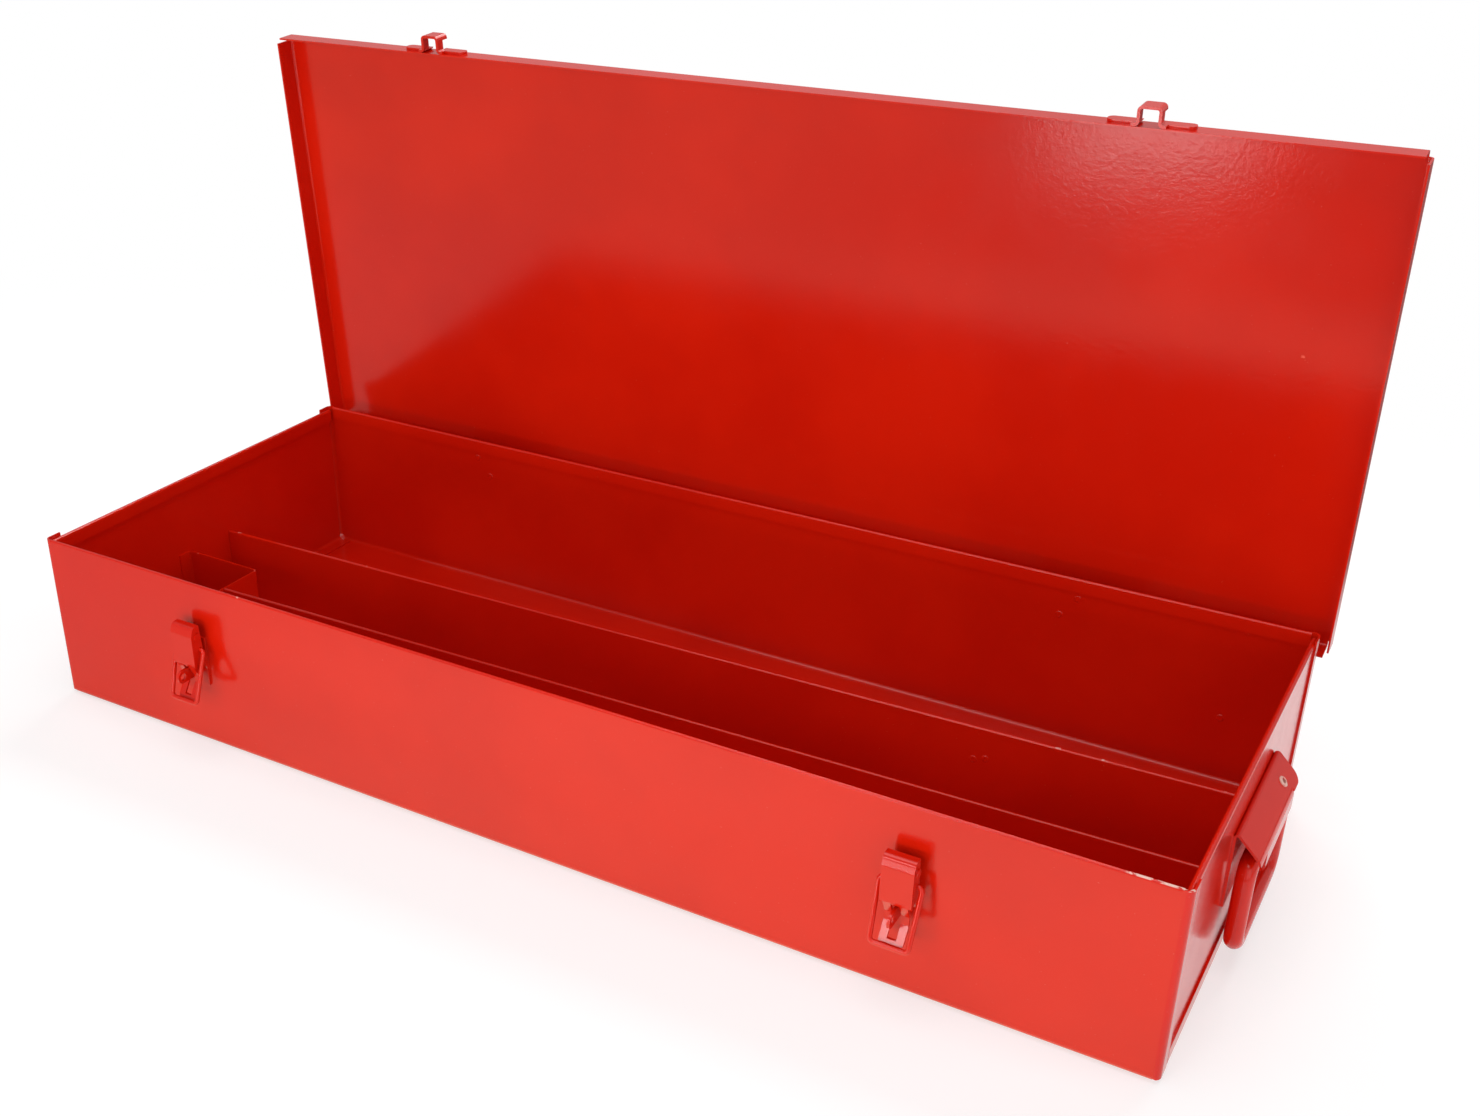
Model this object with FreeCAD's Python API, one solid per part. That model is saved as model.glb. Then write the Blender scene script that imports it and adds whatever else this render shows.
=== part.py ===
import FreeCAD, Part
import math
import os

from FreeCAD import Vector

# Long sheet-steel tool case with a hinged lid, two draw latches, two end handles and three fixed dividers.
# Millimetres. X runs along the case, -Y is the front, +Z is up, origin at the centre of the case's base.
# The lid is stored standing open, the latch levers down, the bails and the handle rings hanging.
# A reach is a distance out from the wall that carries a piece, a drop is a distance below the case's rim.

# Case body: one sheet bent up from front rim to back rim
case_length = 660.0
case_depth = 255.0
case_height = 102.0
sheet = 1.0
bend_radius = 2.5
rim_hem_height = 8.0
rim_hem_gap = 0.2
wrap_flange = 11.0
corner_relief = 1.0

# End panels, set inside the wrapped flanges
end_rim_drop = 1.5
end_hem_height = 8.0
end_hem_gap = 1.0
end_foot = 10.0
panel_bend_radius = 2.0
panel_side_gap = 0.3

# Dividers, half the height of the case; the two long ones run a little askew
divider_height = 51.0
divider_hem_height = 6.0
divider_hem_gap = 0.2
divider_foot = 10.0
divider_bend_radius = 1.0
divider_end_gap = 0.2
long_divider_left_y = 15.5
long_divider_right_y = 35.0
front_divider_left_y = -50.0
front_divider_right_y = -34.0
pocket_rear_y = -19.5
pocket_width = 57.0
pocket_weld_tab = 10.0
pocket_bend_radius = 1.5

# Lid: shallow pan that laps outside the case on every side
lid_lap = 4.5
lid_flange = 13.5
lid_rim_gap = 0.5
lid_bend_radius = 1.5
lid_corner_notch = 3.5
lid_open_angle = 85.6

# Hinges: leaf with curled knuckles, loose lid leaf with a stop finger
hinge_inset = 130.0
hinge_width = 60.0
knuckle_radius = 3.0
hinge_pin_radius = 1.5
hinge_running_gap = 0.05
hinge_end_gap = 0.4
hinge_leaf = 1.5
hinge_drop = 16.0
hinge_body_leaf_length = 26.0
hinge_lid_leaf_length = 13.0
stop_finger_length = 8.0
stop_gap = 0.1

# Draw latches on the front wall: lever on two ears of a base plate
left_latch_inset = 114.5
right_latch_inset = 121.0
latch_sheet = 1.2
lever_width = 15.5
lever_face_reach = 12.0
lever_block_drop = 44.7
lever_fold_drop = 26.5
lever_top_drop = 21.3
lever_top_reach = 10.2
lever_top_back = 5.5
lever_bend_radius = 1.3
lever_fold_radius = 2.0
lever_cheek_back = 3.8
tongue_width = 12.0
tongue_neck_reach = 8.2
tongue_neck_top_drop = 52.5
tongue_neck_bottom_drop = 57.0
tongue_tip_reach = 14.5
tongue_tip_drop = 66.8
tongue_tip_radius = 3.0
tongue_slot_width = 4.5
tongue_slot_top_drop = 46.0
tongue_slot_bottom_drop = 64.0
lever_pivot_reach = 7.8
lever_pivot_drop = 28.0
lever_pin_radius = 1.5
lever_pin_head_radius = 2.4
lever_pin_head = 0.6
lever_running_gap = 0.05
latch_side_gap = 0.5
latch_base_top_drop = 32.0
latch_base_bottom_drop = 62.0
latch_ear_radius = 2.6
latch_ear_foot_top_drop = 47.0
latch_ear_foot_bottom_drop = 55.0
staple_thickness = 1.5
staple_drop = 51.5
staple_eye_reach = 14.8
staple_eye_radius = 2.0
staple_end_radius = 3.8

# Wire bails on the levers, stored swung out onto the tongues' flares
bail_wire_radius = 1.25
bail_top_width = 20.5
bail_bar_width = 18.5
bail_bend_radius = 2.2
bail_pivot_reach = 6.4
bail_pivot_drop = 36.0
bail_running_gap = 0.1
bail_end_inside = 0.2
bail_rest_gap = 0.3
bail_seat_gap = 1.0
bail_seat_slack = 0.2

# Strikes on the lid's front flange, placed from the flange's free edge
strike_sheet = 1.5
strike_span = 43.0
strike_arch_width = 12.0
strike_arch_reach = 10.0
strike_edge_inset = 0.5
strike_height = 9.8
strike_leg_height = 5.3
strike_foot_inset = 3.0
strike_bend_radius = 1.0
strike_foot_radius = 3.0

# Drop handles on the end panels
bracket_sheet = 1.2
bracket_length = 82.0
bracket_tunnel_length = 56.0
bracket_base_bottom_drop = 64.0
bracket_fold_drop = 24.3
bracket_roof_angle = 45.0
bracket_fold_radius = 0.6
bracket_roll_radius = 5.0
bracket_bend_radius = 2.0
bracket_ear_reach = 13.2
bracket_ear_radius = 6.0
ring_rod_radius = 4.5
ring_wall_gap = 2.1
ring_side_gap = 0.5
ring_rest_gap = 0.3
ring_axis_drop = 42.0
ring_hang = 44.5
ring_leg_spacing = 75.0
ring_top_bend = 7.0
ring_bottom_bend = 9.0
eyelet_place_y = 24.0
eyelet_roof_place = 9.0
eyelet_hole_radius = 1.3
eyelet_shank_radius = 1.9
eyelet_flange_radius = 2.8
eyelet_flange = 0.8

# Derived places
half_length = case_length / 2
half_depth = case_depth / 2
front_face = -half_depth
rear_face = half_depth
bend_outside = bend_radius + sheet
panel_outer_x = half_length - sheet
panel_inner_x = panel_outer_x - sheet
panel_top_z = case_height - end_rim_drop
end_hem_thickness = 2 * sheet + end_hem_gap
hinge_y = rear_face + knuckle_radius
hinge_z = case_height - hinge_drop
lid_top_z = case_height + lid_rim_gap + sheet
lid_free_z = lid_top_z - lid_flange
lid_front_y = front_face - lid_lap
lid_rear_y = rear_face + lid_lap
lid_end_x = half_length + lid_lap
hinge_place = half_length - hinge_inset
left_latch_x = left_latch_inset - half_length
right_latch_x = half_length - right_latch_inset
lever_block_z = case_height - lever_block_drop
lever_fold_z = case_height - lever_fold_drop
lever_top_z = case_height - lever_top_drop
lever_pivot_z = case_height - lever_pivot_drop
tongue_neck_bottom_z = case_height - tongue_neck_bottom_drop
tongue_tip_z = case_height - tongue_tip_drop
ear_outer_x = lever_width / 2 - latch_sheet - latch_side_gap
staple_z = case_height - staple_drop
bail_pivot_z = case_height - bail_pivot_drop
strike_bottom_z = lid_free_z + strike_edge_inset
strike_top_z = strike_bottom_z + strike_height
strike_notch_z = strike_bottom_z + strike_leg_height
bail_seat_reach = lid_lap + strike_sheet + bail_seat_gap + bail_wire_radius
bail_seat_z = strike_notch_z + bail_wire_radius + bail_seat_slack
bail_length = math.hypot(bail_seat_reach - bail_pivot_reach, bail_seat_z - bail_pivot_z)
bracket_fold_z = case_height - bracket_fold_drop
ring_reach = bracket_sheet + ring_wall_gap + ring_rod_radius
ring_axis_z = case_height - ring_axis_drop


def box(x0, x1, y0, y1, z0, z1):
    """Box between two corners."""
    return Part.makeBox(x1 - x0, y1 - y0, z1 - z0, Vector(x0, y0, z0))


def rod(radius, start, end):
    """Round bar between two points."""
    return Part.makeCylinder(radius, (end - start).Length, start, end - start)


def rod_along_x(radius, x0, x1, y, z):
    """Round bar along X."""
    return rod(radius, Vector(x0, y, z), Vector(x1, y, z))


def mirrored(shape):
    """The same piece at the other end of the case."""
    return shape.mirror(Vector(0, 0, 0), Vector(1, 0, 0))


def moved(shape, x):
    """A copy shifted along the case."""
    copy = shape.copy()
    copy.translate(Vector(x, 0, 0))
    return copy


def opened(shape):
    """A lid piece turned from its closed place to its open rest."""
    copy = shape.copy()
    copy.rotate(Vector(0, hinge_y, hinge_z), Vector(1, 0, 0), -lid_open_angle)
    return copy


def joined(pieces):
    """Pieces of one sheet or casting fused into a single clean solid."""
    return pieces[0].fuse(pieces[1:]).removeSplitter().Solids[0]


def flat(points):
    """Plane points as vectors."""
    return [Vector(a, b, 0) for a, b in points]


def heading(start, end):
    """Unit direction from one point to the next."""
    step = end - start
    return step.normalize()


def left_of(direction):
    """The direction a quarter turn to the left."""
    return Vector(-direction.y, direction.x, 0)


def shifted_corners(points, shift):
    """Corners of a line moved sideways to its left by a distance."""
    corners = []
    for i, point in enumerate(points):
        before = left_of(heading(points[max(i - 1, 0)], points[max(i, 1)]))
        last = len(points) - 1
        after = left_of(heading(points[min(i, last - 1)], points[min(i + 1, last)]))
        corners.append(point + (before + after) * (shift / (1 + before.dot(after))))
    return corners


def sheet_side(points, shift, thickness, inner_radii):
    """One face line of a bent sheet: straight runs joined by tangent bends."""
    corners = shifted_corners(points, shift)
    edges = []
    here = corners[0]
    for i in range(1, len(points) - 1):
        before = heading(points[i - 1], points[i])
        after = heading(points[i], points[i + 1])
        turns_left = before.cross(after).z > 0
        radius = inner_radii[i - 1] + (thickness - shift if turns_left else shift)
        half_turn = before.getAngle(after) / 2
        reach = radius * math.tan(half_turn)
        start = corners[i] - before * reach
        end = corners[i] + after * reach
        inward = (after - before).normalize()
        middle = corners[i] + inward * (radius / math.cos(half_turn) - radius)
        edges += straight(here, start)
        edges.append(Part.Arc(start, middle, end).toShape())
        here = end
    return edges + straight(here, corners[-1])


def straight(start, end):
    """A straight edge, or none where two bends meet."""
    if (end - start).Length < 1e-4:
        return []
    return [Part.LineSegment(start, end).toShape()]


def bent_sheet(points, thickness, inner_radii, plane, length):
    """Bent sheet: the points give one face, the thickness lies to their left, then it is drawn out."""
    line = flat(points)
    near = shifted_corners(line, 0)
    far = shifted_corners(line, thickness)
    edges = sheet_side(line, 0, thickness, inner_radii)
    edges += sheet_side(line, thickness, thickness, inner_radii)
    edges += straight(near[0], far[0])
    edges += straight(near[-1], far[-1])
    return drawn_out(edges, plane, length)


def drawn_out(edges, plane, length):
    """Closed outline of edges set up in a plane and extruded across it."""
    face = Part.Face(Part.Wire(Part.__sortEdges__(edges)))
    return face.extrude(Vector(0, 0, length)).transformed(plane)


def plate(points, plane, length):
    """Flat plate from a straight-sided outline."""
    corners = flat(points)
    edges = []
    for i, corner in enumerate(corners):
        edges += straight(corner, corners[(i + 1) % len(corners)])
    return drawn_out(edges, plane, length)


def plane_yz(x):
    """Outline given as (y, z), drawn out along +X from x."""
    return FreeCAD.Matrix(0, 0, 1, x, 1, 0, 0, 0, 0, 1, 0, 0, 0, 0, 0, 1)


def plane_xz(y):
    """Outline given as (x, z), drawn out along -Y from y."""
    return FreeCAD.Matrix(1, 0, 0, 0, 0, 0, -1, y, 0, 1, 0, 0, 0, 0, 0, 1)


def plane_xy(z):
    """Outline given as (x, y), drawn out along +Z from z."""
    return FreeCAD.Matrix(1, 0, 0, 0, 0, 1, 0, 0, 0, 0, 1, z, 0, 0, 0, 1)


def plane_off_front(x):
    """Outline given as (distance out from the front wall, z), drawn out along -X from x."""
    return FreeCAD.Matrix(0, 0, -1, x, -1, 0, 0, front_face, 0, 1, 0, 0, 0, 0, 0, 1)


def plane_off_end(y):
    """Outline given as (distance out from the right end panel, z), drawn out along -Y from y."""
    return FreeCAD.Matrix(1, 0, 0, panel_outer_x, 0, 0, -1, y, 0, 1, 0, 0, 0, 0, 0, 1)


def edges_where(shape, test):
    """Edges whose middle passes a test."""
    return [edge for edge in shape.Edges if test(edge.CenterOfMass, edge)]


def case_shell():
    """Front, floor and back in one sheet, with hemmed rims and flanges wrapped round the ends."""
    hem = 2 * sheet + rim_hem_gap
    top = case_height
    fold = rim_hem_gap / 2
    straight_half = half_length - bend_outside
    outline = [
        (front_face + hem, top - rim_hem_height), (front_face + hem, top), (front_face, top),
        (front_face, 0), (rear_face, 0),
        (rear_face, top), (rear_face - hem, top), (rear_face - hem, top - rim_hem_height),
    ]
    radii = [fold, fold, bend_radius, bend_radius, fold, fold]
    shell = bent_sheet(outline, sheet, radii, plane_yz(-straight_half), 2 * straight_half)
    hem_end = panel_outer_x - end_hem_thickness - panel_side_gap
    for side in (-1, 1):
        inner = side * (half_depth - sheet)
        past = side * (half_depth - hem - sheet)
        for end in (-1, 1):
            clear = box(*sorted((end * hem_end, end * half_length)), *sorted((inner, past)),
                        top - rim_hem_height - sheet, top + sheet)
            shell = shell.cut(clear)
    flanges = []
    for flange in (front_wrap(), rear_wrap(), floor_wrap()):
        flanges += [flange, mirrored(flange)]
    return joined([shell] + flanges)


def front_wrap():
    """Strip of the front wall wrapped round the right end, its foot trimmed to the floor's bend."""
    start_x = half_length - bend_outside
    outline = [
        (start_x - sheet, front_face), (half_length, front_face), (half_length, front_face + wrap_flange),
    ]
    foot_z = bend_outside / 2
    strip = bent_sheet(outline, sheet, [bend_radius], plane_xy(foot_z), case_height - foot_z)
    block = box(0, half_length, front_face, rear_face, 0, case_height)
    lower_edges = edges_where(block, is_lower_long_edge)
    return strip.common(block.makeFillet(bend_outside, lower_edges))


def is_lower_long_edge(middle, edge):
    """True on the two long edges at the foot of the case."""
    return middle.z < 0.01 and abs(abs(middle.y) - half_depth) < 0.01


def rear_wrap():
    """Strip of the back wall wrapped round the right end."""
    return front_wrap().mirror(Vector(0, 0, 0), Vector(0, 1, 0))


def floor_wrap():
    """Strip of the floor turned up over the right end."""
    start_x = half_length - bend_outside
    outline = [(start_x - sheet, 0), (half_length, 0), (half_length, wrap_flange)]
    half_width = half_depth - wrap_flange - corner_relief
    return bent_sheet(outline, sheet, [bend_radius], plane_xz(half_width), 2 * half_width)


def right_end_panel():
    """End wall with a foot on the floor and a rolled-over rim."""
    inner_x = panel_outer_x - end_hem_thickness
    outline = [
        (panel_outer_x - end_foot, sheet), (panel_outer_x, sheet), (panel_outer_x, panel_top_z),
        (inner_x, panel_top_z), (inner_x, panel_top_z - end_hem_height),
    ]
    fold = end_hem_gap / 2
    half_width = half_depth - bend_outside - panel_side_gap
    return bent_sheet(outline, sheet, [panel_bend_radius, fold, fold], plane_xz(half_width), 2 * half_width)


def askew_divider(left_x, right_x, left_y, right_y):
    """Upright divider with a hemmed top and a welded foot, run between two end points."""
    hem = 2 * sheet + divider_hem_gap
    fold = divider_hem_gap / 2
    floor = sheet
    outline = [
        (hem, divider_height - divider_hem_height), (hem, divider_height), (0, divider_height),
        (0, floor), (divider_foot, floor),
    ]
    run = Vector(right_x - left_x, right_y - left_y, 0)
    spare = 2 * divider_foot
    radii = [fold, fold, divider_bend_radius]
    divider = bent_sheet(outline, sheet, radii, plane_yz(-spare), run.Length + 2 * spare)
    divider.rotate(Vector(0, 0, 0), Vector(0, 0, 1), math.degrees(math.atan2(run.y, run.x)))
    divider.translate(Vector(left_x, left_y, 0))
    room = box(left_x, right_x, front_face, rear_face, floor, divider_height + sheet)
    return clear_of_panel_feet(divider.common(room)).Solids[0]


def clear_of_panel_feet(divider):
    """A divider notched over the feet of the end panels and over the bends that carry them."""
    foot_end = panel_outer_x - end_foot - divider_end_gap
    bend_end = panel_inner_x - panel_bend_radius
    foot_top = 2 * sheet + divider_end_gap
    for start, top in ((foot_end, foot_top), (bend_end, foot_top + panel_bend_radius)):
        for end in (-1, 1):
            notch = box(*sorted((end * start, end * half_length)), front_face, rear_face, sheet, top)
            divider = divider.cut(notch)
    return divider


def long_divider():
    """Divider from end panel to end panel."""
    end_x = panel_inner_x - divider_end_gap
    return askew_divider(-end_x, end_x, long_divider_left_y, long_divider_right_y)


def front_divider():
    """Divider from the pocket to the right end panel."""
    start_x = -panel_inner_x + pocket_width + divider_end_gap
    end_x = panel_inner_x - divider_end_gap
    return askew_divider(start_x, end_x, front_divider_left_y, front_divider_right_y)


def pocket_divider():
    """Two walls of one bent sheet that close off the front left corner, with welding tabs at both ends."""
    wall_x = -panel_inner_x
    side_x = wall_x + pocket_width
    tab_face_y = front_face + 2 * sheet
    outline = [
        (side_x + pocket_weld_tab, tab_face_y), (side_x, tab_face_y), (side_x, pocket_rear_y),
        (wall_x, pocket_rear_y), (wall_x, pocket_rear_y - pocket_weld_tab),
    ]
    radii = [pocket_bend_radius] * 3
    floor = sheet
    pocket = bent_sheet(outline, sheet, radii, plane_xy(floor), divider_height - floor)
    over_bend = box(wall_x, half_length, front_face, front_face + bend_outside, floor, bend_outside)
    return clear_of_panel_feet(pocket).cut(over_bend).Solids[0]


def lid_panel():
    """Pan with four flanges and open corners."""
    span = [
        (lid_rear_y, lid_free_z), (lid_rear_y, lid_top_z),
        (lid_front_y, lid_top_z), (lid_front_y, lid_free_z),
    ]
    half_span = lid_end_x - lid_bend_radius - sheet
    pan = bent_sheet(span, sheet, [lid_bend_radius] * 2, plane_yz(-half_span), 2 * half_span)
    end = [(lid_end_x, lid_free_z), (lid_end_x, lid_top_z), (half_span - sheet, lid_top_z)]
    rear_y = lid_rear_y - lid_corner_notch
    flange = bent_sheet(end, sheet, [lid_bend_radius], plane_xz(rear_y),
                        rear_y - lid_front_y - lid_corner_notch)
    return opened(joined([pan, flange, mirrored(flange)]))


def knuckle_spans():
    """Start and end of the three knuckles across a hinge."""
    third = hinge_width / 3
    half = hinge_width / 2
    gap = hinge_end_gap / 2
    seam = half - third
    return [(-half, -seam - gap), (gap - seam, seam - gap), (seam + gap, half)]


def hinge_body_leaf():
    """Leaf on the back wall with the two outer knuckles."""
    outer_left, middle, outer_right = knuckle_spans()
    leaf_y = rear_face
    bottom = hinge_z - hinge_body_leaf_length
    pieces = [box(-hinge_width / 2, hinge_width / 2, leaf_y, leaf_y + hinge_leaf, bottom, hinge_z)]
    for start, end in (outer_left, outer_right):
        pieces.append(rod_along_x(knuckle_radius, start, end, hinge_y, hinge_z))
    leaf = pieces[0].fuse(pieces[1:])
    room = box(outer_left[1], outer_right[0], rear_face - sheet, hinge_y + knuckle_radius,
               hinge_z - knuckle_radius - hinge_end_gap, hinge_z + knuckle_radius)
    bore = rod_along_x(hinge_pin_radius, -hinge_width, hinge_width, hinge_y, hinge_z)
    return leaf.cut(room).cut(bore).removeSplitter().Solids[0]


def hinge_lid_leaf():
    """Leaf on the lid's rear flange with the middle knuckle and a finger that stops the lid."""
    outer_left, middle, outer_right = knuckle_spans()
    leaf_y = lid_rear_y
    top = hinge_z + hinge_lid_leaf_length
    clear_z = hinge_z + knuckle_radius + hinge_end_gap
    wide = box(-hinge_width / 2, hinge_width / 2, leaf_y, leaf_y + hinge_leaf, clear_z, top)
    neck = box(middle[0], middle[1], leaf_y, leaf_y + hinge_leaf, hinge_z, top)
    knuckle = rod_along_x(knuckle_radius, middle[0], middle[1], hinge_y, hinge_z)
    finger_y = rear_face + hinge_leaf + stop_gap
    finger = box(middle[0], middle[1], finger_y, finger_y + hinge_leaf, hinge_z - stop_finger_length, hinge_z)
    leaf = opened(wide.fuse([neck, knuckle])).fuse(finger)
    bore = rod_along_x(hinge_pin_radius + hinge_running_gap, -hinge_width, hinge_width, hinge_y, hinge_z)
    return leaf.cut(bore).removeSplitter().Solids[0]


def hinge_pin():
    """Pin through the three knuckles."""
    return rod_along_x(hinge_pin_radius, -hinge_width / 2, hinge_width / 2, hinge_y, hinge_z)


def latch_base():
    """Plate on the front wall with two ears for the lever and a padlock staple."""
    bottom = case_height - latch_base_bottom_drop
    top = case_height - latch_base_top_drop
    pivot_y = front_face - lever_pivot_reach
    pieces = [box(-ear_outer_x, ear_outer_x, front_face - latch_sheet, front_face, bottom, top)]
    arm = [
        (0, case_height - latch_ear_foot_top_drop), (0, case_height - latch_ear_foot_bottom_drop),
        (lever_pivot_reach, lever_pivot_z - latch_ear_radius),
        (lever_pivot_reach - latch_ear_radius, lever_pivot_z),
    ]
    for ear_x in (ear_outer_x, latch_sheet - ear_outer_x):
        pieces.append(plate(arm, plane_off_front(ear_x), latch_sheet))
        pieces.append(rod_along_x(latch_ear_radius, ear_x - latch_sheet, ear_x, pivot_y, lever_pivot_z))
    base = pieces[0].fuse(pieces[1:] + [padlock_staple()])
    base = base.cut(rod_along_x(lever_pin_radius, -lever_width, lever_width, pivot_y, lever_pivot_z))
    eye_y = front_face - staple_eye_reach
    base = base.cut(rod_along_x(staple_eye_radius, -staple_thickness, staple_thickness, eye_y, staple_z))
    return base.removeSplitter().Solids[0]


def padlock_staple():
    """Upright tab with a round end."""
    outline = [
        (0, staple_z - staple_end_radius), (staple_eye_reach, staple_z - staple_end_radius),
        (staple_eye_reach, staple_z + staple_end_radius), (0, staple_z + staple_end_radius),
    ]
    half = staple_thickness / 2
    tab = plate(outline, plane_off_front(half), staple_thickness)
    end = rod_along_x(staple_end_radius, -half, half, front_face - staple_eye_reach, staple_z)
    return tab.fuse(end)


def lever_pin():
    """Headed pin across the ears and the lever's cheeks."""
    pivot_y = front_face - lever_pivot_reach
    inside = lever_width / 2 + lever_running_gap
    outside = inside + lever_pin_head
    pin = rod_along_x(lever_pin_radius, -outside, outside, pivot_y, lever_pivot_z)
    heads = [
        rod_along_x(lever_pin_head_radius, -outside, -inside, pivot_y, lever_pivot_z),
        rod_along_x(lever_pin_head_radius, inside, outside, pivot_y, lever_pivot_z),
    ]
    return joined([pin] + heads)


def latch_lever():
    """Channel-shaped lever, its top folded over, with a slotted tongue that flares out for the finger."""
    half_width = lever_width / 2
    face = [
        (tongue_tip_reach, tongue_tip_z), (tongue_neck_reach, tongue_neck_bottom_z),
        (tongue_neck_reach, case_height - tongue_neck_top_drop), (lever_face_reach, lever_block_z),
        (lever_face_reach, lever_fold_z), (lever_top_reach, lever_top_z), (lever_top_back, lever_top_z),
    ]
    radii = [lever_bend_radius] * 3 + [lever_fold_radius] * 2
    strip = bent_sheet(face, latch_sheet, radii, plane_off_front(half_width), lever_width)
    far_y = front_face - 2 * lever_face_reach
    for side in (-1, 1):
        beside = box(*sorted((side * tongue_width / 2, side * lever_width)), far_y, front_face,
                     tongue_tip_z - latch_sheet, lever_block_z - latch_sheet)
        strip = strip.cut(beside)
    tips = edges_where(strip, is_tongue_corner)
    strip = strip.makeFillet(tongue_tip_radius, tips)
    cheeks = [lever_cheek(half_width), lever_cheek(latch_sheet - half_width)]
    lever = strip.fuse(cheeks)
    slot = box(-tongue_slot_width / 2, tongue_slot_width / 2, far_y, front_face,
               case_height - tongue_slot_bottom_drop, case_height - tongue_slot_top_drop)
    pivot = rod_along_x(lever_pin_radius + lever_running_gap, -half_width, half_width,
                        front_face - lever_pivot_reach, lever_pivot_z)
    bail_hole = rod_along_x(bail_wire_radius + bail_running_gap, -half_width, half_width,
                            front_face - bail_pivot_reach, bail_pivot_z)
    return lever.cut(slot).cut(pivot).cut(bail_hole).removeSplitter().Solids[0]


def is_tongue_corner(middle, edge):
    """True on the two short edges at the corners of the tongue's tip."""
    at_side = abs(abs(middle.x) - tongue_width / 2) < 0.01
    return at_side and middle.z < tongue_tip_z + latch_sheet and edge.Length < latch_sheet * 1.01


def lever_cheek(x):
    """Side plate of the lever, cut back behind to turn clear of the front wall."""
    face = lever_face_reach - latch_sheet / 2
    top = lever_top_z - latch_sheet / 2
    outline = [
        (lever_cheek_back, lever_block_z + latch_sheet), (face, lever_block_z), (face, lever_fold_z),
        (lever_top_reach - latch_sheet, top), (lever_top_back, top),
    ]
    return plate(outline, plane_off_front(x), latch_sheet)


def latch_bail():
    """Tapered wire loop on the lever's cheeks that hooks over the strike."""
    pivot_y = front_face - bail_pivot_reach
    half_top = bail_top_width / 2
    half_bar = bail_bar_width / 2
    end_x = lever_width / 2 - latch_sheet - bail_end_inside
    bar_z = bail_pivot_z - bail_length
    points = [
        Vector(-end_x, pivot_y, bail_pivot_z), Vector(-half_top, pivot_y, bail_pivot_z),
        Vector(-half_bar, pivot_y, bar_z), Vector(half_bar, pivot_y, bar_z),
        Vector(half_top, pivot_y, bail_pivot_z), Vector(end_x, pivot_y, bail_pivot_z),
    ]
    bail = wire_form(points, [bail_bend_radius] * 4, bail_wire_radius)
    bail.rotate(Vector(0, pivot_y, bail_pivot_z), Vector(1, 0, 0), -bail_rest_angle())
    return bail


def bail_rest_angle():
    """Swing out from plumb at which the bail's bar lies on the flare of the tongue."""
    tip = Vector(tongue_tip_reach, tongue_tip_z, 0)
    outward = left_of(heading(tip, Vector(tongue_neck_reach, tongue_neck_bottom_z, 0))) * -1
    pivot = Vector(bail_pivot_reach, bail_pivot_z, 0)
    lift = bail_wire_radius + bail_rest_gap - (pivot - tip).dot(outward)
    return math.degrees(math.atan2(outward.y, outward.x) + math.asin(lift / bail_length))


def wire_form(points, radii, rod_radius):
    """Round rod along straight runs joined by tangent bends."""
    runs = []
    here = points[0]
    for i, radius in enumerate(radii, start=1):
        before = heading(points[i - 1], points[i])
        after = heading(points[i], points[i + 1])
        turn = before.getAngle(after)
        reach = radius * math.tan(turn / 2)
        start = points[i] - before * reach
        axis = before.cross(after)
        centre = start + axis.cross(before).normalize() * radius
        section = Part.Face(Part.Wire(Part.Circle(start, before, rod_radius).toShape()))
        runs.append(rod(rod_radius, here, start))
        runs.append(section.revolve(centre, axis, math.degrees(turn)))
        here = points[i] + after * reach
    runs.append(rod(rod_radius, here, points[-1]))
    return joined(runs)


def strike():
    """Hat-shaped strap on the lid's front flange, notched so that the bail's bar drops in behind its lip."""
    base_y = lid_front_y
    foot = strike_span / 2
    arch = strike_arch_width / 2
    arch_root = arch + strike_bend_radius + strike_sheet
    reach_y = base_y - strike_arch_reach
    foot_y = base_y - strike_sheet
    outline = [
        (-foot, foot_y), (-arch, foot_y), (-arch, reach_y),
        (arch, reach_y), (arch, foot_y), (foot, foot_y),
    ]
    radii = [strike_bend_radius] * 4
    strap = bent_sheet(outline, strike_sheet, radii, plane_xy(strike_bottom_z), strike_height)
    notch = box(-arch_root, arch_root, reach_y + 2 * strike_sheet, foot_y, strike_notch_z, strike_top_z)
    strap = strap.cut(notch)
    for side in (-1, 1):
        below_foot = box(*sorted((side * arch_root, side * strike_span)), foot_y, base_y,
                         strike_bottom_z, strike_bottom_z + strike_foot_inset)
        strap = strap.cut(below_foot)
    ends = edges_where(strap, is_strike_foot_corner)
    return opened(strap.makeFillet(strike_foot_radius, ends))


def is_strike_foot_corner(middle, edge):
    """True on the short edges at the outer corners of the strike's feet."""
    return abs(abs(middle.x) - strike_span / 2) < 0.01 and edge.Length < strike_sheet * 1.01


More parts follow.
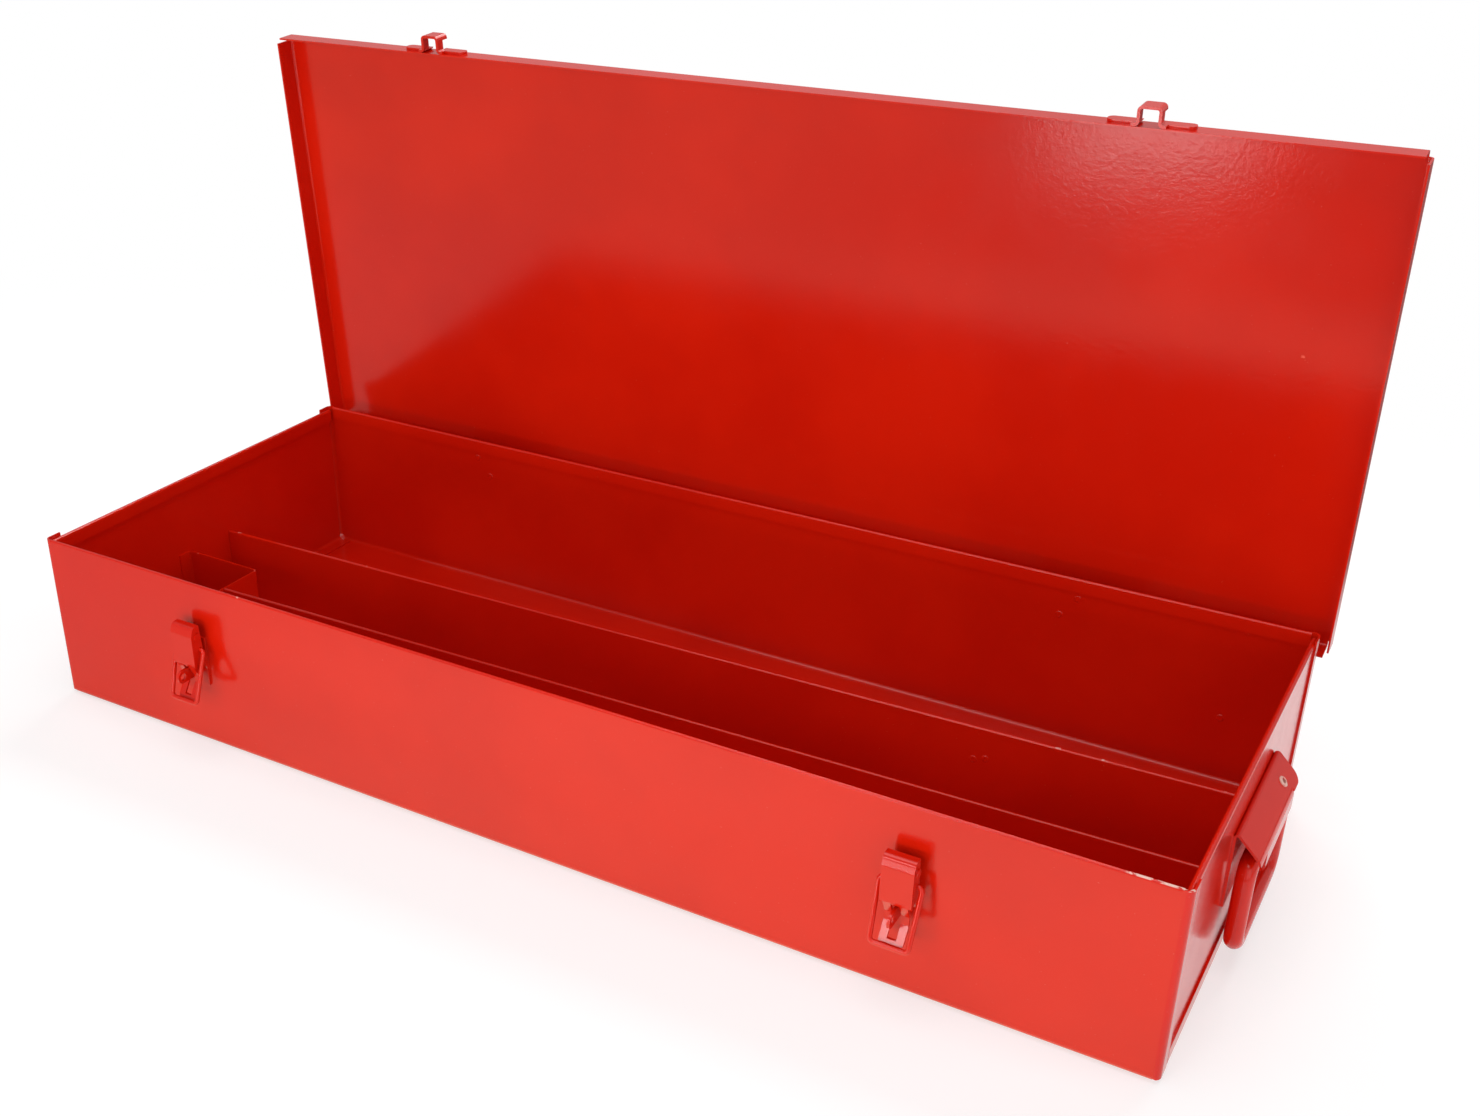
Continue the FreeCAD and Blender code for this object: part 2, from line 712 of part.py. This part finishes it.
def handle_bracket():
    """Bent plate on the right end: base, sloping hood rolled into a wall, and the sill under the ring."""
    slope = math.tan(math.radians(bracket_roof_angle))
    sill_z = ring_axis_z - ring_rod_radius - ring_rest_gap
    leg_top_z = ring_axis_z + ring_rod_radius + ring_rest_gap
    wall = ring_reach + ring_rod_radius + ring_side_gap
    base = [(bracket_sheet, case_height - bracket_base_bottom_drop), (bracket_sheet, bracket_fold_z)]
    tube = [
        (wall, bracket_fold_z - (wall - bracket_sheet) * slope), (wall, sill_z),
        (bracket_sheet + ring_wall_gap, sill_z),
    ]
    ear = [(bracket_ear_reach, bracket_fold_z - (bracket_ear_reach - bracket_sheet) * slope)]
    half = bracket_length / 2
    tunnel = bracket_tunnel_length / 2
    radii = [bracket_fold_radius, bracket_roll_radius, bracket_bend_radius]
    rolled = bent_sheet(base + tube, bracket_sheet, radii, plane_off_end(tunnel), tunnel + half)
    over_leg = box(panel_outer_x + 2 * bracket_sheet, panel_outer_x + 2 * wall, -half, -tunnel,
                   sill_z - 2 * bracket_sheet, leg_top_z)
    rear_end = bent_sheet(base + ear, bracket_sheet, radii[:1], plane_off_end(half), half - tunnel)
    corner = edges_where(rear_end, is_ear_corner)
    rear_end = rear_end.makeFillet(bracket_ear_radius, corner)
    return joined([rolled.cut(over_leg), rear_end]).cut(eyelet_stem(eyelet_shank_radius)).Solids[0]


def is_ear_corner(middle, edge):
    """True on the short edge at the outer rear corner of the hood."""
    at_end = abs(middle.y - bracket_length / 2) < 0.01
    return at_end and middle.x > panel_outer_x + ring_reach and edge.Length < bracket_sheet * 1.01


def hood_frame():
    """Point on the hood's top face at the eyelet and the outward direction there."""
    angle = math.radians(bracket_roof_angle)
    outward = Vector(math.sin(angle), 0, math.cos(angle))
    down = Vector(math.cos(angle), 0, -math.sin(angle))
    top = Vector(panel_outer_x + bracket_sheet, eyelet_place_y, bracket_fold_z) + outward * bracket_sheet
    return top + down * eyelet_roof_place, outward


def eyelet_stem(radius):
    """Round stem through the hood."""
    top, outward = hood_frame()
    return Part.makeCylinder(radius, bracket_sheet, top - outward * bracket_sheet, outward)


def handle_eyelet():
    """Hollow rivet in the hood."""
    top, outward = hood_frame()
    upper = Part.makeCylinder(eyelet_flange_radius, eyelet_flange, top, outward)
    below = top - outward * (bracket_sheet + eyelet_flange)
    lower = Part.makeCylinder(eyelet_flange_radius, eyelet_flange, below, outward)
    depth = bracket_sheet + 2 * eyelet_flange
    hole = Part.makeCylinder(eyelet_hole_radius, depth, below, outward)
    body = joined([upper, lower, eyelet_stem(eyelet_shank_radius)])
    rim = edges_where(body, is_eyelet_rim)
    return body.makeChamfer(eyelet_flange / 2, rim).cut(hole).Solids[0]


def is_eyelet_rim(middle, edge):
    """True on the outer edge of the eyelet's upper flange."""
    top, outward = hood_frame()
    height = (middle - top).dot(outward)
    is_round = hasattr(edge.Curve, "Radius")
    return is_round and abs(height - eyelet_flange) < 0.01 and edge.Curve.Radius > eyelet_shank_radius


def handle_ring():
    """Closed ring of round rod that hangs through the bracket."""
    axis_x = panel_outer_x + ring_reach
    half = ring_leg_spacing / 2
    bottom_z = ring_axis_z - ring_hang
    points = [
        Vector(axis_x, 0, ring_axis_z), Vector(axis_x, half, ring_axis_z),
        Vector(axis_x, half, bottom_z), Vector(axis_x, 0, bottom_z),
    ]
    rear_half = wire_form(points, [ring_top_bend, ring_bottom_bend], ring_rod_radius)
    front_half = rear_half.mirror(Vector(0, 0, 0), Vector(0, 1, 0))
    return joined([rear_half, front_half])


def pieces():
    """Every piece of the case by name."""
    parts = {
        "case_shell": case_shell(),
        "right_end_panel": right_end_panel(),
        "long_divider": long_divider(),
        "front_divider": front_divider(),
        "pocket_divider": pocket_divider(),
        "lid_panel": lid_panel(),
        "right_handle_bracket": handle_bracket(),
        "right_handle_eyelet": handle_eyelet(),
        "right_handle_ring": handle_ring(),
    }
    for name in ("end_panel", "handle_bracket", "handle_eyelet", "handle_ring"):
        parts["left_" + name] = mirrored(parts["right_" + name])
    hinge = {
        "hinge_body_leaf": hinge_body_leaf(),
        "hinge_lid_leaf": hinge_lid_leaf(),
        "hinge_pin": hinge_pin(),
    }
    latch = {
        "latch_base": latch_base(),
        "lever_pin": lever_pin(),
        "latch_lever": latch_lever(),
        "latch_bail": latch_bail(),
        "strike": strike(),
    }
    for group, left_x, right_x in ((hinge, -hinge_place, hinge_place), (latch, left_latch_x, right_latch_x)):
        for name, shape in group.items():
            parts["left_" + name] = moved(shape, left_x)
            parts["right_" + name] = moved(shape, right_x)
    return parts


os.makedirs("parts", exist_ok=True)
for node, shape in pieces().items():
    shape.exportStep("parts/" + node + ".step")
    print(node, "valid" if shape.isValid() else "NOT VALID", len(shape.Solids), round(shape.Volume, 1))
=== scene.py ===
import math

import bmesh
import bpy
from mathutils import Matrix, Vector


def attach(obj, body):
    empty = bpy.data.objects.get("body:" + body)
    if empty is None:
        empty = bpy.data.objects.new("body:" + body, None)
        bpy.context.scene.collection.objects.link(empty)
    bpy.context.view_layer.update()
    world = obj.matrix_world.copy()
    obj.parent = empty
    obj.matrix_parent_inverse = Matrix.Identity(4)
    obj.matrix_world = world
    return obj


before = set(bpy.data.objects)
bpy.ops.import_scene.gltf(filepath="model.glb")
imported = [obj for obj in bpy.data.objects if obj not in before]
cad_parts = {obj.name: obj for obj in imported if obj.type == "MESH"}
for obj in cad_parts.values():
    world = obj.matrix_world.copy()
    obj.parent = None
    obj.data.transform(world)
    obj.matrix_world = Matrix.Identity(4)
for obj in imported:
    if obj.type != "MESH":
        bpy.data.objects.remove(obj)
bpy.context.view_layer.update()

# Picture and camera, from the photograph's own perspective
PICTURE_WIDTH = 1480
PICTURE_HEIGHT = 1116
FOCAL_PIXELS = 1673.4
CENTRE_X_PIXELS = 628.3
CENTRE_Y_PIXELS = 613.9
SENSOR_WIDTH = 36.0
CAMERA_AZIMUTH = 30.983
CAMERA_ELEVATION = 27.625
CAMERA_ROLL = -0.19
CAMERA_DISTANCE = 0.9333
CAMERA_TARGET = Vector((-0.01122, 0.0, 0.08022))
CAMERA_NEAR = 0.01
CAMERA_FAR = 50.0

# Colours as linear values
PAINT_RED = (0.700, 0.0130, 0.0020, 1.0)
PAINT_DEEP = (0.630, 0.0095, 0.0015, 1.0)
PAINT_SCUFFED = (0.860, 0.110, 0.060, 1.0)
PAINT_WORN = (0.800, 0.520, 0.440, 1.0)
FLOOR_COLOUR = (0.92, 0.92, 0.92, 1.0)
FLOOR_SEEN_COLOUR = (0.44, 0.44, 0.44, 1.0)
# Warm tint of the floor's glow in reflections, except beside the right end: a painted reflection of red light
# bounced off the case
FLOOR_PAINTED_REFLECTION_TINT = (1.0, 0.95, 0.68, 1.0)
WHITE = (1.0, 1.0, 1.0, 1.0)

# Paint: gloss, strength and depth of the orange peel, dust specks, and what wear adds
PAINT_IOR = 1.45
PAINT_ROUGHNESS = 0.12
PAINT_ROUGHNESS_SPREAD = 0.09
PEEL_ON_SHEET = 0.20
PEEL_ON_HARDWARE = 0.10
PEEL_ON_RIVETS = 0.08
PEEL_DEPTH = 0.0004
PEEL_BROAD_SHARE = 0.7
PEEL_FINE_SHARE = 0.3
SPECK_STRENGTH = 0.10
WORN_ROUGHNESS = 0.25
WORN_HEIGHT = -0.6

# Wear on edges and one knock in the lid; lengths in metres
CHIP_STRENGTH = 0.7
EDGE_WEAR_START = 0.0006
EDGE_WEAR_FULL = 0.0002
BARE_RIM_START = 0.301
BARE_RIM_FADE = 0.003
FRONT_RIM_BACK = -0.1245
FRONT_RIM_FADE = 0.001
LID_CHIP = (0.2943, 0.1350, 0.2430)
LID_CHIP_EDGE = 0.0015
LID_CHIP_CORE = 0.0009
LID_CHIP_RAGGED = 0.0060
LID_CHIP_SHIFT = -0.0026

# Light levels, where 1 is white
FULL_WHITE = 1.0
SKY_STRENGTH = 0.10
SKY_IN_GLOSS = 0.45
FLOOR_SEEN_GLOW = 0.62
# Levels of the floor's glow seen only in reflections, near and far, left and right and beside the right end:
# painted reflections on the case
FLOOR_GLOSS_NEAR_LEFT = 0.20
FLOOR_GLOSS_NEAR_RIGHT = 1.0
FLOOR_GLOSS_FAR_LEFT = 0.62
FLOOR_GLOSS_FAR_RIGHT = 0.16
FLOOR_GLOSS_BESIDE = 0.5

# Places on the floor, in metres
FLOOR_HALF = 6.0
FLOOR_DROP = 0.0004
FLOOR_SHADOW_REACH = 0.30
FLOOR_WHITE_FROM = 0.80
# Where the floor's painted reflection levels change, from left to right and from near to far
FLOOR_GLOSS_LEFT_X = -0.48
FLOOR_GLOSS_RIGHT_X = 0.05
FLOOR_GLOSS_NEAR_Y = 0.26
FLOOR_GLOSS_FAR_Y = 0.50
FLOOR_TONE_FADE = 0.002

# Factors on a place on the floor, so that the shadow's reach follows the long case
FLOOR_ROUND_CASE = (0.6, 1.0, 1.0)

# Places on the case, in metres
RIGHT_END = 0.330
RIM_HEIGHT = 0.102
DIVIDER_TOP = 0.051
REAR_WALL_FACE = 0.1265
REAR_WALL_WELDS = ((0.1941, 0.0778), (0.2033, 0.0895), (0.2886, 0.0390), (-0.1941, 0.0778),
                   (-0.2033, 0.0895))
LONG_DIVIDER_LEFT = Vector((-0.328, 0.0155, 0.0))
LONG_DIVIDER_RIGHT = Vector((0.328, 0.0350, 0.0))
DIVIDER_WELDS = ((0.1839, 0.0312), (0.1904, 0.0332))
INSIDE_CORNER = Vector((0.329, 0.1265, 0.001))
BEAD_DEPTH = 0.0028

# Radius and height of the rings of a spot-weld mark and of a corner bead, from the hidden foot up
WELD_PROFILE = ((0.0, -0.0002), (0.0021, -0.0002), (0.0021, 0.0), (0.0017, 0.00022), (0.0012, 0.00030),
                (0.0006, 0.00018), (0.0, 0.00014))
BEAD_PROFILE = ((0.0, -0.0010), (0.0022, -0.0010), (0.0028, 0.0), (0.0021, 0.00022), (0.0011, 0.00032),
                (0.0, 0.00036))
WELD_SIDES = 24


def make_camera():
    """Camera with the photograph's view, lens and framing."""
    data = bpy.data.cameras.new("photo_camera")
    data.sensor_fit = "HORIZONTAL"
    data.sensor_width = SENSOR_WIDTH
    data.lens = FOCAL_PIXELS / PICTURE_WIDTH * SENSOR_WIDTH
    data.shift_x = (PICTURE_WIDTH / 2 - CENTRE_X_PIXELS) / PICTURE_WIDTH
    data.shift_y = (CENTRE_Y_PIXELS - PICTURE_HEIGHT / 2) / PICTURE_WIDTH
    data.clip_start = CAMERA_NEAR
    data.clip_end = CAMERA_FAR
    azimuth = math.radians(CAMERA_AZIMUTH)
    elevation = math.radians(CAMERA_ELEVATION)
    roll = math.radians(CAMERA_ROLL)
    back = Vector((math.sin(azimuth) * math.cos(elevation), -math.cos(azimuth) * math.cos(elevation),
                   math.sin(elevation)))
    level_right = Vector((math.cos(azimuth), math.sin(azimuth), 0.0))
    level_up = back.cross(level_right)
    right = math.cos(roll) * level_right + math.sin(roll) * level_up
    up = math.cos(roll) * level_up - math.sin(roll) * level_right
    place = CAMERA_TARGET + back * CAMERA_DISTANCE
    camera = bpy.data.objects.new("photo_camera", data)
    camera.matrix_world = Matrix((
        (right.x, up.x, back.x, place.x),
        (right.y, up.y, back.y, place.y),
        (right.z, up.z, back.z, place.z),
        (0.0, 0.0, 0.0, 1.0),
    ))
    bpy.context.scene.collection.objects.link(camera)
    bpy.context.scene.camera = camera


class Nodes:
    """Small helper to build the node tree of a material or of the world."""

    def __init__(self, tree):
        self.tree = tree
        tree.nodes.clear()

    def add(self, kind, settings=None, **inputs):
        """New node with settings and with inputs that are values or other nodes' outputs."""
        node = self.tree.nodes.new(kind)
        for key, value in (settings or {}).items():
            setattr(node, key, value)
        for key, value in inputs.items():
            self.feed(node.inputs[key.replace("_", " ")], value)
        return node

    def feed(self, socket, value):
        """Sets a socket's value or links it."""
        if isinstance(value, bpy.types.NodeSocket):
            self.tree.links.new(value, socket)
        else:
            socket.default_value = value

    def join(self, node, socket):
        """Links a shader node's output to a socket."""
        self.tree.links.new(node.outputs[0], socket)

    def show(self, shader, output="ShaderNodeOutputMaterial"):
        """Puts a shader on the surface."""
        self.join(shader, self.add(output).inputs["Surface"])

    def mix_shaders(self, share, first, second):
        """Mix of two shaders."""
        node = self.add("ShaderNodeMixShader", Fac=share)
        self.join(first, node.inputs[1])
        self.join(second, node.inputs[2])
        return node

    def math(self, operation, first, second=0.0, third=0.0):
        """Math node's result."""
        node = self.tree.nodes.new("ShaderNodeMath")
        node.operation = operation
        for socket, value in zip(node.inputs, (first, second, third)):
            self.feed(socket, value)
        return node.outputs[0]

    def product(self, *values):
        """Product of several values."""
        result = values[0]
        for value in values[1:]:
            result = self.math("MULTIPLY", result, value)
        return result

    def between(self, share, first, second):
        """Value between two others."""
        node = self.add("ShaderNodeMix", {"data_type": "FLOAT"})
        self.feed(node.inputs[0], share)
        self.feed(node.inputs[2], first)
        self.feed(node.inputs[3], second)
        return node.outputs[0]

    def blend(self, share, first, second):
        """Mix of two colours."""
        node = self.add("ShaderNodeMix", {"data_type": "RGBA"})
        self.feed(node.inputs[0], share)
        self.feed(node.inputs[6], first)
        self.feed(node.inputs[7], second)
        return node.outputs[2]

    def ramp(self, value, low, high):
        """Smooth step of a value between two limits."""
        node = self.add("ShaderNodeMapRange", {"interpolation_type": "SMOOTHSTEP"}, Value=value)
        node.inputs["From Min"].default_value = low
        node.inputs["From Max"].default_value = high
        return node.outputs["Result"]

    def place(self):
        """Place in the object's own coordinates."""
        return self.add("ShaderNodeTexCoord").outputs["Object"]

    def axes(self):
        """The three coordinates of the place."""
        return self.add("ShaderNodeSeparateXYZ", Vector=self.place()).outputs

    def distance(self, point):
        """Distance of the place from a point."""
        node = self.add("ShaderNodeVectorMath", {"operation": "DISTANCE"})
        self.feed(node.inputs[0], self.place())
        self.feed(node.inputs[1], point)
        return node.outputs["Value"]

    def noise(self, scale, detail):
        """Noise in the object's own coordinates."""
        node = self.add("ShaderNodeTexNoise", Vector=self.place(), Scale=scale, Detail=detail)
        return node.outputs["Fac"]

    def patches(self, scale, detail, low, high):
        """Soft-edged patches, where the noise rises above a level."""
        return self.ramp(self.noise(scale, detail), low, high)

    def rays(self):
        """Shares of the rays seen straight or through glass, and of those seen in reflections."""
        path = self.add("ShaderNodeLightPath").outputs
        straight = self.math("MAXIMUM", path["Is Camera Ray"], path["Is Transmission Ray"])
        return straight, path["Is Glossy Ray"]


def rim_wear(nodes):
    """Sparse chips along the case's rim and a bare stretch at the right end of the front rim."""
    x, y, z = nodes.axes()
    at_rim = nodes.ramp(z, RIM_HEIGHT - EDGE_WEAR_START, RIM_HEIGHT - EDGE_WEAR_FULL)
    chips = nodes.patches(scale=80.0, detail=4.0, low=0.71, high=0.75)
    sparse = nodes.product(chips, CHIP_STRENGTH)
    past_start = nodes.ramp(x, BARE_RIM_START, BARE_RIM_START + BARE_RIM_FADE)
    in_front = nodes.ramp(y, FRONT_RIM_BACK, FRONT_RIM_BACK - FRONT_RIM_FADE)
    patchy = nodes.patches(scale=210.0, detail=3.0, low=0.46, high=0.54)
    bare = nodes.product(past_start, in_front, patchy)
    return nodes.product(at_rim, nodes.math("MAXIMUM", sparse, bare))


def divider_wear(nodes):
    """Sparse chips along the top of a divider."""
    height = nodes.axes()[2]
    at_top = nodes.ramp(height, DIVIDER_TOP - EDGE_WEAR_START, DIVIDER_TOP - EDGE_WEAR_FULL)
    chips = nodes.patches(scale=75.0, detail=4.0, low=0.68, high=0.73)
    return nodes.product(at_top, chips, CHIP_STRENGTH)


def lid_chip(nodes):
    """One small knock with a ragged edge inside the lid."""
    ragged = nodes.noise(scale=1100.0, detail=3.0)
    edge = nodes.math("MULTIPLY_ADD", ragged, LID_CHIP_RAGGED, LID_CHIP_SHIFT)
    return nodes.ramp(nodes.math("ADD", nodes.distance(LID_CHIP), edge), LID_CHIP_EDGE, LID_CHIP_CORE)


def rivet_wear(nodes):
    """Paint mostly rubbed off the hollow rivets."""
    return nodes.patches(scale=420.0, detail=3.0, low=0.30, high=0.52)


def paint(name, wear=None, worn=PAINT_WORN, peel=PEEL_ON_SHEET):
    """Glossy red stove enamel: slow colour drift, fine orange peel, dust specks, uneven gloss and wear."""
    material = bpy.data.materials.new(name)
    material.use_nodes = True
    nodes = Nodes(material.node_tree)
    fine = nodes.noise(scale=900.0, detail=1.0)
    broad = nodes.noise(scale=380.0, detail=2.0)
    drift = nodes.patches(scale=9.0, detail=3.0, low=0.35, high=0.68)
    colour = nodes.blend(drift, PAINT_DEEP, PAINT_RED)
    speck = nodes.ramp(fine, low=0.76, high=0.82)
    colour = nodes.blend(nodes.product(speck, SPECK_STRENGTH), colour, PAINT_WORN)
    uneven = nodes.noise(scale=45.0, detail=4.0)
    roughness = nodes.math("MULTIPLY_ADD", uneven, PAINT_ROUGHNESS_SPREAD, PAINT_ROUGHNESS)
    height = nodes.math("MULTIPLY_ADD", broad, PEEL_BROAD_SHARE, nodes.product(fine, PEEL_FINE_SHARE))
    if wear:
        mask = wear(nodes)
        colour = nodes.blend(mask, colour, worn)
        roughness = nodes.math("MULTIPLY_ADD", mask, WORN_ROUGHNESS, roughness)
        height = nodes.math("MULTIPLY_ADD", mask, WORN_HEIGHT, height)
    bump = nodes.add("ShaderNodeBump", Strength=peel, Distance=PEEL_DEPTH, Height=height)
    shader = nodes.add("ShaderNodeBsdfPrincipled", Base_Color=colour, Roughness=roughness, IOR=PAINT_IOR,
                       Normal=bump.outputs["Normal"])
    nodes.show(shader)
    return material


def dress(node, material):
    """Gives a CAD node a material."""
    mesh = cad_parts[node].data
    mesh.materials.clear()
    mesh.materials.append(material)


def dress_case():
    """Materials of every CAD node; returns those that the added pieces share."""
    case = paint("case_paint", rim_wear)
    divider = paint("divider_paint", divider_wear)
    lid = paint("lid_paint", lid_chip, PAINT_SCUFFED)
    rivet = paint("rivet_paint", rivet_wear, peel=PEEL_ON_RIVETS)
    hardware = paint("hardware_paint", peel=PEEL_ON_HARDWARE)
    by_ending = (
        ("shell", case), ("end_panel", case), ("divider", divider), ("lid_panel", lid), ("eyelet", rivet),
    )
    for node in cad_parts:
        finish = hardware
        for ending, material in by_ending:
            if node.endswith(ending):
                finish = material
        dress(node, finish)
    return case, divider


def add_mound(mesh, profile, place, outward):
    """One low round mound of weld metal, its foot sunk into the faces that carry it."""
    turn = outward.to_track_quat("Z", "Y").to_matrix()
    below = None
    for radius, height in profile:
        ring = []
        for side in range(WELD_SIDES if radius else 1):
            angle = 2 * math.pi * side / WELD_SIDES
            point = Vector((radius * math.cos(angle), radius * math.sin(angle), height))
            ring.append(mesh.verts.new(place + turn @ point))
        for side in range(WELD_SIDES if below else 0):
            following = (side + 1) % WELD_SIDES
            corners = [below[side], below[following]] if len(below) > 1 else [below[0]]
            corners += [ring[following], ring[side]] if radius else [ring[0]]
            mesh.faces.new(corners).smooth = True
        below = ring


def weld_piece(name, profile, mounds, material):
    """Several mounds of weld metal on the case, as one piece; each has a place and an outward direction."""
    build = bmesh.new()
    for place, outward in mounds:
        add_mound(build, profile, place, outward)
    bmesh.ops.recalc_face_normals(build, faces=build.faces)
    mesh = bpy.data.meshes.new(name)
    build.to_mesh(mesh)
    build.free()
    mesh.materials.append(material)
    marks = bpy.data.objects.new(name, mesh)
    bpy.context.scene.collection.objects.link(marks)
    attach(marks, "case")


def make_weld_marks(case, divider):
    """Marks on the rear wall, where the hinges are welded on behind it, and on the long divider."""
    forward = Vector((0.0, -1.0, 0.0))
    rear = [(Vector((x, REAR_WALL_FACE, z)), forward) for x, z in REAR_WALL_WELDS]
    weld_piece("rear_wall_weld_marks", WELD_PROFILE, rear, case)
    run = LONG_DIVIDER_RIGHT - LONG_DIVIDER_LEFT
    outward = Vector((run.y, -run.x, 0.0)).normalized()
    front = []
    for x, z in DIVIDER_WELDS:
        share = (x - LONG_DIVIDER_LEFT.x) / run.x
        front.append((Vector((x, LONG_DIVIDER_LEFT.y + share * run.y, z)), outward))
    weld_piece("long_divider_weld_marks", WELD_PROFILE, front, divider)


def make_corner_beads(case):
    """Beads that close the four inside corners at the foot of the ends."""
    beads = []
    for end in (-1, 1):
        for side in (-1, 1):
            corner = INSIDE_CORNER * Vector((end, side, 1))
            inward = Vector((-end, -side, 1)).normalized()
            beads.append((corner + inward * BEAD_DEPTH, inward))
    weld_piece("corner_weld_beads", BEAD_PROFILE, beads, case)


def floor_painted_reflection_levels(nodes, x, in_front):
    """How bright the floor glows in reflections near the case and further off, as painted reflections on the
    case; both change from left to right.
    """
    to_right = nodes.ramp(x, FLOOR_GLOSS_LEFT_X, FLOOR_GLOSS_RIGHT_X)
    beside = nodes.between(in_front, FLOOR_GLOSS_BESIDE, 1.0)
    near = nodes.between(nodes.product(beside, to_right), FLOOR_GLOSS_NEAR_LEFT, FLOOR_GLOSS_NEAR_RIGHT)
    far = nodes.between(to_right, FLOOR_GLOSS_FAR_LEFT, FLOOR_GLOSS_FAR_RIGHT)
    return near, far


def floor_outside(nodes, y, glossy):
    """Share of the outer floor: beyond the case's shadow for the camera, and further off in reflections."""
    round_case = nodes.add("ShaderNodeVectorMath", {"operation": "MULTIPLY"})
    nodes.feed(round_case.inputs[0], nodes.place())
    nodes.feed(round_case.inputs[1], FLOOR_ROUND_CASE)
    away = nodes.add("ShaderNodeVectorMath", {"operation": "LENGTH"}, Vector=round_case.outputs[0])
    off_shadow = nodes.ramp(away.outputs["Value"], FLOOR_SHADOW_REACH, FLOOR_WHITE_FROM)
    far_off = nodes.ramp(nodes.math("ABSOLUTE", y), FLOOR_GLOSS_NEAR_Y, FLOOR_GLOSS_FAR_Y)
    return nodes.between(glossy, off_shadow, far_off)


def floor_material():
    """Pale floor, white to the camera but for the case's soft shadow, with a glow of its own levels and warm
    tint in reflections, which paints reflections on the case.
    """
    material = bpy.data.materials.new("pale_floor")
    material.use_nodes = True
    nodes = Nodes(material.node_tree)
    straight, glossy = nodes.rays()
    x, y = nodes.axes()[:2]
    in_front = nodes.ramp(x, RIGHT_END + FLOOR_TONE_FADE, RIGHT_END - FLOOR_TONE_FADE)
    # Painted reflection tint: the floor shows warm in reflections, except beside the right end, standing in
    # for red light bounced off the case
    painted_reflection_tint = nodes.blend(nodes.product(glossy, in_front), WHITE, FLOOR_PAINTED_REFLECTION_TINT)
    # Painted reflections: the floor's glow in gloss is set brighter or darker by place
    near_gloss, far_gloss = floor_painted_reflection_levels(nodes, x, in_front)
    near_level = nodes.between(glossy, FLOOR_SEEN_GLOW, near_gloss)
    far_level = nodes.between(glossy, FULL_WHITE, far_gloss)
    shaded = nodes.add("ShaderNodeBsdfDiffuse", Color=FLOOR_SEEN_COLOUR)
    glow = nodes.add("ShaderNodeEmission", Color=painted_reflection_tint, Strength=near_level)
    near = nodes.add("ShaderNodeAddShader")
    nodes.join(shaded, near.inputs[0])
    nodes.join(glow, near.inputs[1])
    far = nodes.add("ShaderNodeEmission", Color=painted_reflection_tint, Strength=far_level)
    seen = nodes.mix_shaders(floor_outside(nodes, y, glossy), near, far)
    plain = nodes.add("ShaderNodeBsdfDiffuse", Color=FLOOR_COLOUR)
    nodes.show(nodes.mix_shaders(nodes.math("MAXIMUM", straight, glossy), plain, seen))
    return material


def make_floor():
    """Large flat floor, a hair under the case."""
    mesh = bpy.data.meshes.new("floor")
    corners = [(x * FLOOR_HALF, y * FLOOR_HALF, 0.0) for x, y in ((-1, -1), (1, -1), (1, 1), (-1, 1))]
    mesh.from_pydata(corners, [], [(0, 1, 2, 3)])
    floor = bpy.data.objects.new("floor", mesh)
    floor.location.z = -FLOOR_DROP
    mesh.materials.append(floor_material())
    bpy.context.scene.collection.objects.link(floor)


def make_world():
    """Even pale surroundings, white behind the object."""
    world = bpy.data.worlds.new("studio")
    bpy.context.scene.world = world
    world.use_nodes = True
    nodes = Nodes(world.node_tree)
    around = nodes.add("ShaderNodeBackground", Color=WHITE, Strength=SKY_STRENGTH)
    behind = nodes.add("ShaderNodeBackground", Color=WHITE, Strength=FULL_WHITE)
    straight, glossy = nodes.rays()
    share = nodes.math("MAXIMUM", straight, nodes.product(glossy, SKY_IN_GLOSS))
    nodes.show(nodes.mix_shaders(share, around, behind), "ShaderNodeOutputWorld")


def softbox(name, place, aim, size, radiance, mirrored=False):
    """Rectangular soft light of a given brightness, not seen by the camera, nor in gloss unless mirrored."""
    width, height = size
    data = bpy.data.lights.new(name, "AREA")
    data.shape = "RECTANGLE"
    data.size = width
    data.size_y = height
    data.energy = radiance * math.pi * width * height
    light = bpy.data.objects.new(name, data)
    light.location = place
    direction = Vector(aim) - Vector(place)
    light.rotation_mode = "QUATERNION"
    light.rotation_quaternion = direction.to_track_quat("-Z", "Y")
    light.visible_camera = False
    light.visible_glossy = mirrored
    bpy.context.scene.collection.objects.link(light)


def make_lights():
    """Soft lights in front, at both ends, above and behind, and two accents: place, aim, size, level."""
    softbox("key", (-0.45, -1.7, 0.54), (0.1, -0.1, 0.1), (1.4, 1.0), 1.15)
    softbox("front", (0.0, -1.7, 0.13), (0.1, -0.1, 0.06), (1.2, 0.22), 7.4)
    softbox("fill", (1.5, -1.4, 0.84), (0.2, 0.0, 0.1), (1.6, 1.5), 0.85, mirrored=True)
    softbox("left", (-1.8, 0.1, 0.6), (-0.3, 0.0, 0.05), (0.9, 0.9), 2.4)
    softbox("right", (1.8, 0.1, 0.6), (0.3, 0.0, 0.05), (0.9, 0.9), 2.7)
    softbox("top", (0.0, -0.4, 2.2), (0.0, -0.1, 0.0), (2.0, 1.5), 2.1, mirrored=True)
    softbox("back", (0.0, 1.3, 1.7), (0.0, 0.0, 0.1), (1.6, 0.8), 5.6, mirrored=True)
    softbox("hardware_accent", (-0.26, -1.7, 0.86), (0.2, -0.1, 0.05), (0.45, 0.25), 9.5, mirrored=True)
    softbox("lid_accent", (-0.01, -0.74, 0.03), (0.2, 0.125, 0.33), (0.18, 0.10), 7.0, mirrored=True)


make_camera()
case_paint, divider_paint = dress_case()
make_weld_marks(case_paint, divider_paint)
make_corner_beads(case_paint)
make_floor()
make_world()
make_lights()
bpy.context.scene.view_settings.view_transform = "Standard"
